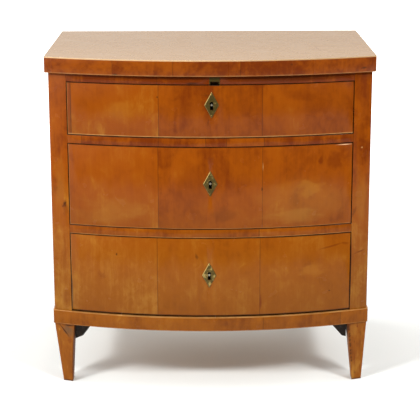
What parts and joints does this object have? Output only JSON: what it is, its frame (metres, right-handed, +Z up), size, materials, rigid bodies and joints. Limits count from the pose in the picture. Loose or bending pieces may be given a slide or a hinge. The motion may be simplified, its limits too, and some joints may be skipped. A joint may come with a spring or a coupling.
{
  "type": "chest of drawers",
  "caption": "Bow front chest with full-width locking drawers, a thick overhanging top, flush rails, a plinth band and tapered square legs.",
  "frame": {"origin": "on the floor, below the middle of the chest's overall plan", "axes": "+Z up, the bowed front faces -Y, +X to the right as seen from the front"},
  "size_m": [0.8, 0.5379, 0.8255],
  "materials": {
    "veneer": "french polished golden brown birch veneer",
    "pine": "aged bare pine",
    "dark_block": "dark stained rough wood",
    "old_brass": "aged brass with green tarnish",
    "iron": "dark hand filed iron",
    "steel": "worn steel"
  },
  "bodies": {
    "case": {"back_board_lower": "pine", "back_board_upper": "pine", "back_corner_blocks": "dark_block", "back_nails": "iron", "bottom_board": "pine", "corner_block_left": "dark_block", "corner_block_right": "dark_block", "drawer_stops": "pine", "front_stile_left": "veneer", "front_stile_right": "veneer", "guide_bottom_left": "pine", "guide_bottom_right": "pine", "kicker_left": "pine", "kicker_right": "pine", "leg_back_left": "veneer", "leg_back_right": "veneer", "leg_front_left": "veneer", "leg_front_right": "veneer", "lower_drawer_rail": "veneer", "plinth_back": "pine", "plinth_front": "veneer", "plinth_left": "veneer", "plinth_right": "veneer", "runner_middle_left": "pine", "runner_middle_right": "pine", "runner_top_left": "pine", "runner_top_right": "pine", "side_panel_left": "veneer", "side_panel_right": "veneer", "strike_plate": "old_brass", "top_board": "veneer", "top_rail": "veneer", "upper_drawer_rail": "veneer"},
    "top_drawer": {"top_drawer_back": "pine", "top_drawer_bottom": "pine", "top_drawer_front": "veneer", "top_drawer_side_left": "pine", "top_drawer_side_right": "pine", "top_escutcheon": "old_brass", "top_escutcheon_pins": "old_brass", "top_lock_case": "iron"},
    "middle_drawer": {"middle_drawer_back": "pine", "middle_drawer_bottom": "pine", "middle_drawer_front": "veneer", "middle_drawer_side_left": "pine", "middle_drawer_side_right": "pine", "middle_escutcheon": "old_brass", "middle_escutcheon_pins": "old_brass", "middle_lock_case": "iron"},
    "bottom_drawer": {"bottom_drawer_back": "pine", "bottom_drawer_bottom": "pine", "bottom_drawer_front": "veneer", "bottom_drawer_side_left": "pine", "bottom_drawer_side_right": "pine", "bottom_escutcheon": "old_brass", "bottom_escutcheon_pins": "old_brass", "bottom_lock_case": "iron"},
    "top_bolt": {"top_lock_bolt": "steel"},
    "middle_bolt": {"middle_lock_bolt": "steel"},
    "bottom_bolt": {"bottom_lock_bolt": "steel"}
  },
  "joints": [
    {"name": "top_drawer_slide", "type": "slide", "parent": "case", "child": "top_drawer", "axis": [0, -1, 0], "range_m": [0, 0.33]},
    {"name": "middle_drawer_slide", "type": "slide", "parent": "case", "child": "middle_drawer", "axis": [0, -1, 0], "range_m": [0, 0.33]},
    {"name": "bottom_drawer_slide", "type": "slide", "parent": "case", "child": "bottom_drawer", "axis": [0, -1, 0], "range_m": [0, 0.33]},
    {"name": "top_bolt_throw", "type": "slide", "parent": "top_drawer", "child": "top_bolt", "axis": [0, 0, 1], "range_m": [0, 0.009]},
    {"name": "middle_bolt_throw", "type": "slide", "parent": "middle_drawer", "child": "middle_bolt", "axis": [0, 0, 1], "range_m": [0, 0.009]},
    {"name": "bottom_bolt_throw", "type": "slide", "parent": "bottom_drawer", "child": "bottom_bolt", "axis": [0, 0, 1], "range_m": [0, 0.009]}
  ]
}
